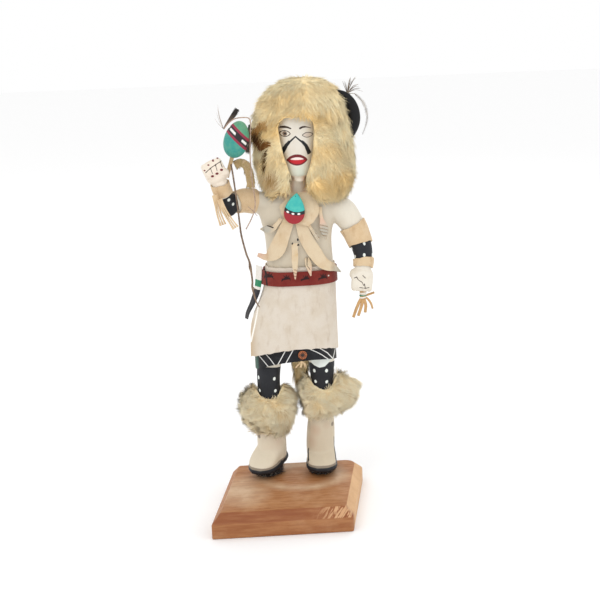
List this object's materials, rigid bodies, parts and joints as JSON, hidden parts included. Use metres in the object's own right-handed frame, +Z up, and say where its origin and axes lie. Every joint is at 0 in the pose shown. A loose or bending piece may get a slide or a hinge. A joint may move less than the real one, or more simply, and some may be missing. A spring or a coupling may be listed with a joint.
{
  "type": "kachina doll",
  "caption": "Carved and painted wooden kachina doll in a fur hood with one horn, hide bib and kilt, fur anklets and boots, holding a rattle up, on a wooden plinth.",
  "frame": {"origin": "centre of the plinth's flat underside", "axes": "+Z up, the doll faces -Y, and its lowered arm is on the +X side"},
  "size_m": [0.1806, 0.1621, 0.4477],
  "materials": {
    "plinth_wood": "sawn and planed board under a thin worn varnish",
    "painted_wood": "carved wood painted white, with black, red and dark marks",
    "black_fur": "short dark fur",
    "tan_fur": "long soft golden tan fur",
    "white_hide": "cream suede, faintly stained",
    "tan_hide": "tan suede",
    "red_hide": "hide painted dark red with dark marks",
    "black_hide": "hide painted black with white lines",
    "horn_black": "black paint, satin",
    "turquoise_paint": "turquoise paint with red, black and white bands",
    "twig_brown": "dry brown stem",
    "feather": "grey brown feather barbs",
    "copper": "small petalled disc, orange brown"
  },
  "bodies": {
    "root": {"plinth": "plinth_wood", "carved_figure": "painted_wood", "fur_hood": "tan_fur", "horn": "horn_black", "horn_plume": "feather", "ear_tassel": "feather", "anklet_still": "tan_fur", "anklet_stepping": "tan_fur", "pelt": "tan_fur", "kilt": "white_hide", "kilt_border": "black_hide", "belt": "red_hide", "side_sash": "white_hide", "kilt_rosette": "copper", "rosette_tassel": "tan_hide", "pendant": "turquoise_paint", "bib_yoke": "white_hide", "bib_strip_left": "white_hide", "bib_strip_right": "white_hide", "bib_strip_centre": "white_hide", "bib_strip_narrow": "white_hide", "bib_tip": "white_hide", "bib_feather_left": "white_hide", "bib_feather_right": "white_hide", "armband_raised": "tan_hide", "armband_lowered": "tan_hide", "wristband_raised": "tan_hide", "wristband_lowered": "tan_hide", "wrist_fringe_left": "tan_hide", "wrist_fringe_right": "tan_hide", "hand_thongs": "tan_hide", "rattle": "turquoise_paint", "rattle_feather": "feather", "hide_strap": "tan_hide", "twig": "twig_brown", "straw": "twig_brown", "sole_fur_still": "black_fur", "sole_fur_stepping": "black_fur"}
  },
  "joints": []
}
